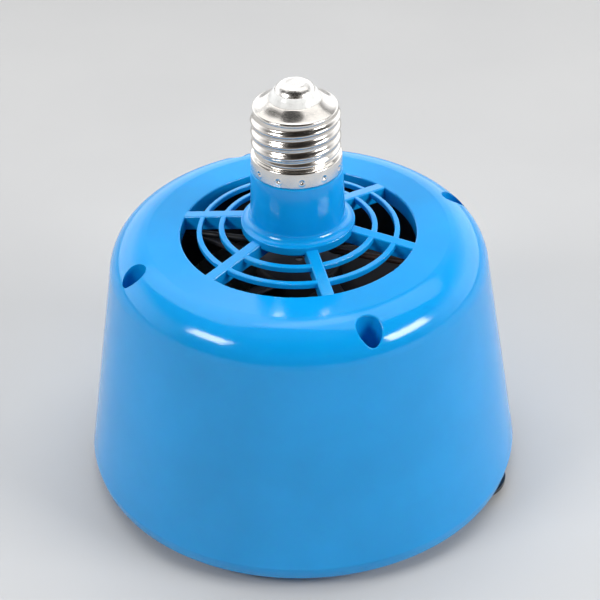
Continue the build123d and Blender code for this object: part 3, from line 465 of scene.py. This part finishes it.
def wire_curve(name, points, radius):
    """Round wire through the points, with its ends capped."""
    data = bpy.data.curves.new(name, "CURVE")
    data.dimensions = "3D"
    data.bevel_depth = radius * MM
    data.bevel_resolution = 1
    data.use_fill_caps = True
    spline = data.splines.new("POLY")
    spline.points.add(len(points) - 1)
    for target, point in zip(spline.points, points):
        target.co = (*(point * MM), 1)
    thing = bpy.data.objects.new(name, data)
    bpy.context.collection.objects.link(thing)
    return thing


def build_coils():
    """The two heating coils as wound wire."""
    for name, radii, z in COILS:
        path = resample(coil_path(radii), COIL_PITCH / COIL_STEPS_PER_TURN)
        coil = wire_curve(name + "_wound", wound_points(path, z), COIL_WIRE)
        coil.data.materials.append(MATERIALS["nichrome"])
        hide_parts(name)
        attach(coil, "body")


# ------------------------------------------------------------- thermostat scale

DIAL_ANGLE = math.radians(-21.5)
DIAL_R = 56.6
DIAL_FACE_Z = -101.8
DIAL_PRINT = 0.05
DIAL_BAND_R = 12.4
DIAL_BAND_WIDTH = (0.3, 1.4)
DIAL_TICK_R = 14.1
DIAL_TICK_ENDS = (15.5, 14.8)
DIAL_TICK_HALF = 0.02
DIAL_TICKS = 7
DIAL_START = math.radians(118)
DIAL_END = math.radians(242)
DIAL_STEP = 0.05


def arc_prism(mesh, r_in, r_out_start, r_out_end, start, end):
    """Adds one closed printed mark: a ring sector that may widen towards its end."""
    steps = max(1, int((end - start) / DIAL_STEP))
    centre_x = DIAL_R * math.cos(DIAL_ANGLE)
    centre_y = DIAL_R * math.sin(DIAL_ANGLE)
    rings = []
    for i in range(steps + 1):
        share = i / steps
        angle = DIAL_ANGLE + start + (end - start) * share
        r_out = r_out_start + (r_out_end - r_out_start) * share
        ring = []
        for r, z in ((r_in, DIAL_PRINT), (r_out, DIAL_PRINT), (r_out, -DIAL_PRINT), (r_in, -DIAL_PRINT)):
            x = centre_x + r * math.cos(angle)
            y = centre_y + r * math.sin(angle)
            ring.append(mesh.verts.new(Vector((x, y, DIAL_FACE_Z + z)) * MM))
        rings.append(ring)
    for before, after in zip(rings, rings[1:]):
        for k in range(4):
            mesh.faces.new((before[k], after[k], after[(k + 1) % 4], before[(k + 1) % 4]))
    mesh.faces.new(rings[0])
    mesh.faces.new(tuple(reversed(rings[-1])))


def build_dial():
    """Scale printed round the knob: ticks and a band that widens towards hot."""
    mesh = bmesh.new()
    thin, wide = DIAL_BAND_WIDTH
    arc_prism(mesh, DIAL_BAND_R, DIAL_BAND_R + thin, DIAL_BAND_R + wide, DIAL_START, DIAL_END)
    for i in range(DIAL_TICKS):
        middle = DIAL_START + (DIAL_END - DIAL_START) * i / (DIAL_TICKS - 1)
        end_r = DIAL_TICK_ENDS[i % 2]
        arc_prism(mesh, DIAL_TICK_R, end_r, end_r, middle - DIAL_TICK_HALF, middle + DIAL_TICK_HALF)
    bmesh.ops.recalc_face_normals(mesh, faces=mesh.faces)
    data = bpy.data.meshes.new("dial_scale")
    mesh.to_mesh(data)
    mesh.free()
    scale = bpy.data.objects.new("dial_scale", data)
    bpy.context.collection.objects.link(scale)
    data.materials.append(moulded_plastic("scale_ink", (0.85, 0.85, 0.83), 0.4))
    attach(scale, "body")


# ----------------------------------------------------------------------- stage

FLOOR_SIZE = 6.0
FLOOR_GAP = 0.2 * MM
FLOOR_TONES = ((0.54, 0.54, 0.54), (0.57, 0.57, 0.567))

LIGHT_CENTRE = (0, 0, -0.03)

# name, azimuth, elevation, distance, (width, height), power
LIGHTS = (
    ("key_left", -58, 35, 1.1, (0.40, 0.26), 5.0),
    ("key_right", 65, 27, 1.1, (0.50, 0.26), 7.2),
    ("back_left", -155, 57, 1.1, (0.80, 0.80), 2.4),
    ("back_right", 140, 64, 1.1, (0.80, 0.80), 2.4),
    ("top_fill", 0, 86, 1.0, (0.90, 0.90), 4.2),
)

SKY_STRENGTH = 1.7
DARK_ROOM = (0.050, 0.042, 0.036)
BRIGHT_WALL = (0.95, 0.97, 1.0)
WALL_FADE = (0.30, 0.72)
BAND_TOP = 0.50
BAND_FADE = 0.12
ABOVE_BAND = (0.10, 0.10, 0.10)

# sockets of the Mix node when it mixes colours
MIX_FACTOR, MIX_A, MIX_B = 0, 6, 7
MIX_RESULT = 2


def build_floor():
    """A plain pale floor just under the lamp."""
    low = cad_box[0][2]
    bpy.ops.mesh.primitive_plane_add(size=FLOOR_SIZE, location=(0, 0, low - FLOOR_GAP))
    floor = bpy.context.object
    floor.name = "floor"
    material, tree, shader = new_material("floor_paper")
    tone = noise(tree, scale=9, detail=3)
    colour_between(tree, shader, tone, (0.3, FLOOR_TONES[0]), (0.7, FLOOR_TONES[1]))
    shader.inputs["Roughness"].default_value = 0.85
    floor.data.materials.append(material)


def aim(thing, place, target):
    """Puts a light at the place and turns it to the target."""
    direction = Vector(target) - Vector(place)
    thing.location = place
    thing.rotation_euler = direction.to_track_quat("-Z", "Y").to_euler()


def area_light(name, place, size, power):
    """A soft box that faces the lamp."""
    data = bpy.data.lights.new(name, "AREA")
    data.shape = "RECTANGLE"
    data.size, data.size_y = size
    data.energy = power
    light = bpy.data.objects.new(name, data)
    bpy.context.collection.objects.link(light)
    aim(light, place, LIGHT_CENTRE)
    return light


def light_place(azimuth, elevation, distance):
    """A place seen from the lamp: azimuth runs from the front towards the right."""
    a = math.radians(azimuth)
    e = math.radians(elevation)
    return (distance * math.cos(e) * math.sin(a), -distance * math.cos(e) * math.cos(a),
            distance * math.sin(e) + LIGHT_CENTRE[2])


def build_world():
    """A bright low band behind and beside the lamp, fading to a dark room in front and above."""
    world = bpy.data.worlds.new("studio")
    world.use_nodes = True
    tree = world.node_tree
    background = tree.nodes["Background"]
    coords = node(tree, "ShaderNodeTexCoord")
    split = node(tree, "ShaderNodeSeparateXYZ")
    tree.links.new(coords.outputs["Generated"], split.inputs["Vector"])
    behind = ramp(tree, spread(tree, split.outputs["Y"], 0, 1, -1, 1),
                  [(WALL_FADE[0], DARK_ROOM), (WALL_FADE[1], BRIGHT_WALL)])
    above = ramp(tree, spread(tree, split.outputs["Z"], 0, 1, 0, 1),
                 [(BAND_TOP - BAND_FADE, (1, 1, 1)), (BAND_TOP + BAND_FADE, ABOVE_BAND)])
    mix = node(tree, "ShaderNodeMix", data_type="RGBA", blend_type="MULTIPLY")
    mix.inputs[MIX_FACTOR].default_value = 1.0
    tree.links.new(behind, mix.inputs[MIX_A])
    tree.links.new(above, mix.inputs[MIX_B])
    tree.links.new(mix.outputs[MIX_RESULT], background.inputs["Color"])
    background.inputs["Strength"].default_value = SKY_STRENGTH
    bpy.context.scene.world = world


def build_lights():
    """Four soft boxes and an even light overhead that leaves no reflection."""
    for name, azimuth, elevation, distance, size, power in LIGHTS:
        light = area_light(name, light_place(azimuth, elevation, distance), size, power)
        light.visible_glossy = name != "top_fill"


def build_camera():
    """Camera at the photograph's viewing angle, with its slight roll."""
    forward = Vector((0, math.cos(CAMERA_ELEVATION), -math.sin(CAMERA_ELEVATION)))
    up = Vector((0, math.sin(CAMERA_ELEVATION), math.cos(CAMERA_ELEVATION)))
    right = Vector((1, 0, 0))
    right_rolled = math.cos(CAMERA_ROLL) * right + math.sin(CAMERA_ROLL) * up
    up_rolled = -math.sin(CAMERA_ROLL) * right + math.cos(CAMERA_ROLL) * up
    place = Vector((0, 0, CAMERA_AIM_Z)) - forward * CAMERA_DISTANCE
    turn = Matrix((right_rolled, up_rolled, -forward)).transposed().to_4x4()
    data = bpy.data.cameras.new("camera")
    data.lens = CAMERA_LENS
    data.sensor_width = CAMERA_SENSOR
    data.clip_start, data.clip_end = CAMERA_CLIP
    camera = bpy.data.objects.new("camera", data)
    camera.matrix_world = Matrix.Translation(place) @ turn
    bpy.context.collection.objects.link(camera)
    bpy.context.scene.camera = camera


dress_cad_nodes()
build_cap_shell()
build_coils()
build_dial()
build_floor()
build_world()
build_lights()
build_camera()
bpy.context.scene.view_settings.view_transform = "Standard"
